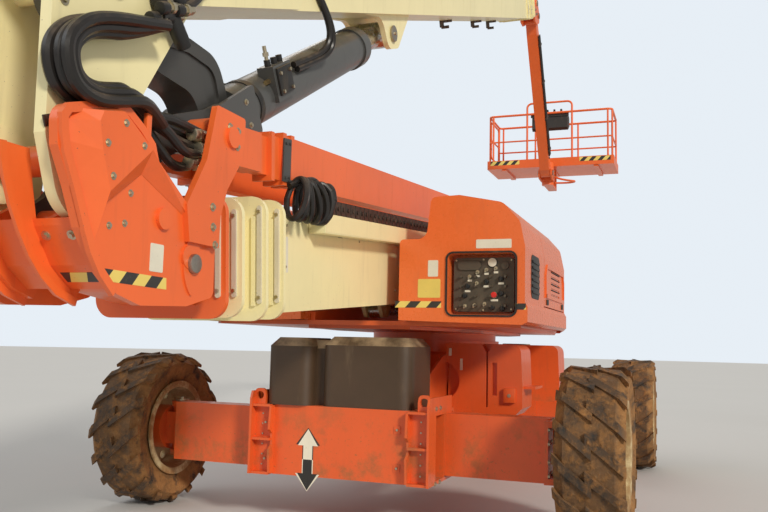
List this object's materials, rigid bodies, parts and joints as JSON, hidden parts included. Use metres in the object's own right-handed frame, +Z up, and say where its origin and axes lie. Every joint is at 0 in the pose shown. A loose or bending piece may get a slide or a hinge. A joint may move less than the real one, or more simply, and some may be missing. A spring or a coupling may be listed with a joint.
{
  "type": "articulating boom lift",
  "caption": "Self-propelled articulating boom lift with a telescopic tower, a telescopic main boom, a jib and a work platform on four steered wheels with extending axles.",
  "frame": {"origin": "point on the ground under the swing axis of the turntable", "axes": "+X along the chassis the way the main boom points, +Y to the left seen along +X, +Z up"},
  "size_m": [13.0616, 3.794, 6.6433],
  "materials": {
    "orange_paint": "gloss",
    "orange_hood": "gloss",
    "cream_paint": "gloss",
    "grey_paint": "satin",
    "cylinder_grey": "satin",
    "cover_black": "matt",
    "tyre": "matt",
    "rim_cream": "satin",
    "rod_steel": "polished",
    "panel_black": "matt",
    "engine_dark": "matt"
  },
  "bodies": {
    "chassis": {"chassis_frame": "orange_paint", "axle_boxes": "orange_paint", "axle_covers": "cover_black", "side_tanks": "orange_paint"},
    "turntable": {"turntable_deck": "orange_paint", "boom_supports": "orange_paint", "boom_pins": "orange_paint", "counterweight": "orange_paint", "engine_block": "engine_dark", "hood_fronts": "orange_hood", "hood_tails": "orange_hood", "control_panel": "panel_black"},
    "tower_base": {"tower_base": "cream_paint", "hose_carrier": "cover_black"},
    "tower_mid": {"tower_mid": "cream_paint"},
    "tower_fly": {"tower_fly": "orange_paint"},
    "link_base": {"upper_link_base": "orange_paint"},
    "link_mid": {"upper_link_mid": "orange_paint"},
    "link_fly": {"upper_link_fly": "orange_paint"},
    "tower_cylinder": {"tower_lift_barrel": "cylinder_grey"},
    "tower_cylinder_rod": {"tower_lift_rod": "rod_steel"},
    "yoke": {"yoke": "orange_paint"},
    "lift_link": {"lift_link": "grey_paint"},
    "lift_gooseneck": {"lift_gooseneck": "grey_paint"},
    "lift_cylinder": {"lift_barrel": "cylinder_grey"},
    "lift_cylinder_rod": {"lift_rod": "rod_steel"},
    "main_base": {"main_base": "cream_paint", "main_foot": "orange_paint", "lift_lug": "orange_paint"},
    "main_mid": {"main_mid": "cream_paint"},
    "main_fly": {"main_fly": "cream_paint"},
    "level_knuckle": {"level_knuckle": "orange_paint"},
    "jib": {"jib_arm": "orange_paint"},
    "platform_support": {"platform_support": "orange_paint"},
    "platform": {"platform_floor": "orange_paint", "platform_rails": "orange_paint", "platform_console": "panel_black"},
    "platform_gate": {"platform_gate": "orange_paint"},
    "hood_door_right": {"hood_door_right": "orange_hood"},
    "hood_door_left": {"hood_door_left": "orange_hood"},
    "beam_front_right": {"axle_beam_front_right": "orange_paint"},
    "knuckle_front_right": {"knuckle_front_right": "orange_paint"},
    "wheel_front_right": {"tyre_front_right": "tyre", "rim_front_right": "rim_cream"},
    "beam_front_left": {"axle_beam_front_left": "orange_paint"},
    "knuckle_front_left": {"knuckle_front_left": "orange_paint"},
    "wheel_front_left": {"tyre_front_left": "tyre", "rim_front_left": "rim_cream"},
    "beam_rear_right": {"axle_beam_rear_right": "orange_paint"},
    "knuckle_rear_right": {"knuckle_rear_right": "orange_paint"},
    "wheel_rear_right": {"tyre_rear_right": "tyre", "rim_rear_right": "rim_cream"},
    "beam_rear_left": {"axle_beam_rear_left": "orange_paint"},
    "knuckle_rear_left": {"knuckle_rear_left": "orange_paint"},
    "wheel_rear_left": {"tyre_rear_left": "tyre", "rim_rear_left": "rim_cream"}
  },
  "joints": [
    {"name": "axle_front_right", "type": "slide", "parent": "chassis", "child": "beam_front_right", "axis": [0, -1, 0], "range_m": [-0.66, 0]},
    {"name": "steer_front_right", "type": "hinge", "parent": "beam_front_right", "child": "knuckle_front_right", "pos_m": [-1.905, -1.46, 0.5775], "axis": [0, 0, 1], "range_deg": [-20, 20]},
    {"name": "spin_front_right", "type": "hinge", "parent": "knuckle_front_right", "child": "wheel_front_right", "pos_m": [-1.905, -1.6825, 0.5775], "axis": [0, 1, 0], "continuous": true},
    {"name": "axle_front_left", "type": "slide", "parent": "chassis", "child": "beam_front_left", "axis": [0, 1, 0], "range_m": [-0.66, 0]},
    {"name": "steer_front_left", "type": "hinge", "parent": "beam_front_left", "child": "knuckle_front_left", "pos_m": [-1.905, 1.46, 0.5775], "axis": [0, 0, 1], "range_deg": [-20, 20]},
    {"name": "spin_front_left", "type": "hinge", "parent": "knuckle_front_left", "child": "wheel_front_left", "pos_m": [-1.905, 1.6825, 0.5775], "axis": [0, 1, 0], "continuous": true},
    {"name": "axle_rear_right", "type": "slide", "parent": "chassis", "child": "beam_rear_right", "axis": [0, -1, 0], "range_m": [-0.66, 0]},
    {"name": "steer_rear_right", "type": "hinge", "parent": "beam_rear_right", "child": "knuckle_rear_right", "pos_m": [1.905, -1.46, 0.5775], "axis": [0, 0, 1], "range_deg": [-20, 20]},
    {"name": "spin_rear_right", "type": "hinge", "parent": "knuckle_rear_right", "child": "wheel_rear_right", "pos_m": [1.905, -1.6825, 0.5775], "axis": [0, 1, 0], "continuous": true},
    {"name": "axle_rear_left", "type": "slide", "parent": "chassis", "child": "beam_rear_left", "axis": [0, 1, 0], "range_m": [-0.66, 0]},
    {"name": "steer_rear_left", "type": "hinge", "parent": "beam_rear_left", "child": "knuckle_rear_left", "pos_m": [1.905, 1.46, 0.5775], "axis": [0, 0, 1], "range_deg": [-20, 20]},
    {"name": "spin_rear_left", "type": "hinge", "parent": "knuckle_rear_left", "child": "wheel_rear_left", "pos_m": [1.905, 1.6825, 0.5775], "axis": [0, 1, 0], "continuous": true},
    {"name": "turntable_swing", "type": "hinge", "parent": "chassis", "child": "turntable", "pos_m": [0, 0, 1.3], "axis": [0, 0, 1], "continuous": true},
    {"name": "tower_lift", "type": "hinge", "parent": "turntable", "child": "tower_base", "pos_m": [1.35, 0, 2.05], "axis": [0, 1, 0], "range_deg": [0, 68]},
    {"name": "tower_extend", "type": "slide", "parent": "tower_base", "child": "tower_mid", "axis": [-0.9971, 0, -0.0767], "range_m": [0, 3.9]},
    {"name": "tower_extend_fly", "type": "slide", "parent": "tower_mid", "child": "tower_fly", "axis": [-0.9971, 0, -0.0767], "range_m": [0, 3.9]},
    {"name": "upper_link_lift", "type": "hinge", "parent": "turntable", "child": "link_base", "pos_m": [1.61, 0, 2.61], "axis": [0, 1, 0], "range_deg": [0, 68]},
    {"name": "upper_link_extend", "type": "slide", "parent": "link_base", "child": "link_mid", "axis": [-0.9971, 0, -0.0767], "range_m": [0, 3.9]},
    {"name": "upper_link_extend_fly", "type": "slide", "parent": "link_mid", "child": "link_fly", "axis": [-0.9971, 0, -0.0767], "range_m": [0, 3.9]},
    {"name": "yoke_level", "type": "hinge", "parent": "tower_fly", "child": "yoke", "pos_m": [-4.60739, 0, 1.5916], "axis": [0, 1, 0], "range_deg": [-68, 0]},
    {"name": "tower_cylinder_tilt", "type": "hinge", "parent": "turntable", "child": "tower_cylinder", "pos_m": [1, 0, 1.65], "axis": [0, 1, 0], "range_deg": [0, 69.97]},
    {"name": "tower_cylinder_stroke", "type": "slide", "parent": "tower_cylinder", "child": "tower_cylinder_rod", "axis": [-0.9983, 0, -0.0576], "range_m": [0, 0.5864]},
    {"name": "main_lift", "type": "hinge", "parent": "yoke", "child": "main_base", "pos_m": [-5.1, 0, 1.9], "axis": [0, -1, 0], "range_deg": [-15, 54]},
    {"name": "lower_link_tilt", "type": "hinge", "parent": "yoke", "child": "lift_link", "pos_m": [-4.95, 0, 1.7], "axis": [0, -1, 0], "range_deg": [-11.61, 41.81]},
    {"name": "gooseneck_tilt", "type": "hinge", "parent": "main_base", "child": "lift_gooseneck", "pos_m": [-5.042, 0, 2.586], "axis": [0, -1, 0], "range_deg": [-16.02, 4.45]},
    {"name": "lift_cylinder_tilt", "type": "hinge", "parent": "lift_link", "child": "lift_cylinder", "pos_m": [-4.05, 0, 2.3], "axis": [0, -1, 0], "range_deg": [-4.39, 15.82]},
    {"name": "lift_cylinder_stroke", "type": "slide", "parent": "lift_cylinder", "child": "lift_cylinder_rod", "axis": [0.8685, 0, 0.4958], "range_m": [-0.064, 0.2301]},
    {"name": "main_extend", "type": "slide", "parent": "main_base", "child": "main_mid", "axis": [0.9336, 0, 0.3584], "range_m": [0, 5.2]},
    {"name": "main_extend_fly", "type": "slide", "parent": "main_mid", "child": "main_fly", "axis": [0.9336, 0, 0.3584], "range_m": [0, 5.2]},
    {"name": "knuckle_level", "type": "hinge", "parent": "main_fly", "child": "level_knuckle", "pos_m": [4.7965, 0, 6.5344], "axis": [0, -1, 0], "range_deg": [-54, 15]},
    {"name": "jib_lift", "type": "hinge", "parent": "level_knuckle", "child": "jib", "pos_m": [4.9565, 0, 6.3944], "axis": [0, -1, 0], "range_deg": [0, 130]},
    {"name": "platform_level", "type": "hinge", "parent": "jib", "child": "platform_support", "pos_m": [6.38345, 0, 4.19709], "axis": [0, -1, 0], "range_deg": [-130, 0]},
    {"name": "platform_rotate", "type": "hinge", "parent": "platform_support", "child": "platform", "pos_m": [6.61845, 0, 4.19709], "axis": [0, 0, 1], "range_deg": [-90, 90]},
    {"name": "gate_swing", "type": "hinge", "parent": "platform", "child": "platform_gate", "pos_m": [6.86545, 1.064, 4.43209], "axis": [0, 0, 1], "range_deg": [-90, 0]},
    {"name": "hood_door_right", "type": "hinge", "parent": "turntable", "child": "hood_door_right", "pos_m": [0, -0.625, 2.297], "axis": [-1, 0, 0], "range_deg": [0, 65]},
    {"name": "hood_door_left", "type": "hinge", "parent": "turntable", "child": "hood_door_left", "pos_m": [0, 0.625, 2.297], "axis": [1, 0, 0], "range_deg": [0, 65]}
  ],
  "couplings": [
    {"joint": "axle_front_right", "follows": "axle_front_left", "ratio": 1},
    {"joint": "steer_front_right", "follows": "steer_front_left", "ratio": 1},
    {"joint": "axle_rear_right", "follows": "axle_rear_left", "ratio": 1},
    {"joint": "steer_rear_right", "follows": "steer_rear_left", "ratio": 1},
    {"joint": "tower_extend_fly", "follows": "tower_extend", "ratio": 1},
    {"joint": "upper_link_lift", "follows": "tower_lift", "ratio": 1},
    {"joint": "upper_link_extend", "follows": "tower_extend", "ratio": 1},
    {"joint": "upper_link_extend_fly", "follows": "tower_extend", "ratio": 1},
    {"joint": "yoke_level", "follows": "tower_lift", "ratio": -1},
    {"joint": "tower_cylinder_tilt", "follows": "tower_lift", "ratio": 1.029},
    {"joint": "tower_cylinder_stroke", "follows": "tower_lift", "m_per_rad": 0.49406},
    {"joint": "lower_link_tilt", "follows": "main_lift", "ratio": 0.77423},
    {"joint": "gooseneck_tilt", "follows": "main_lift", "ratio": -0.29675},
    {"joint": "lift_cylinder_tilt", "follows": "main_lift", "ratio": 0.29292},
    {"joint": "lift_cylinder_stroke", "follows": "main_lift", "m_per_rad": 0.24408},
    {"joint": "main_extend_fly", "follows": "main_extend", "ratio": 1},
    {"joint": "knuckle_level", "follows": "main_lift", "ratio": -1},
    {"joint": "platform_level", "follows": "jib_lift", "ratio": -1}
  ]
}
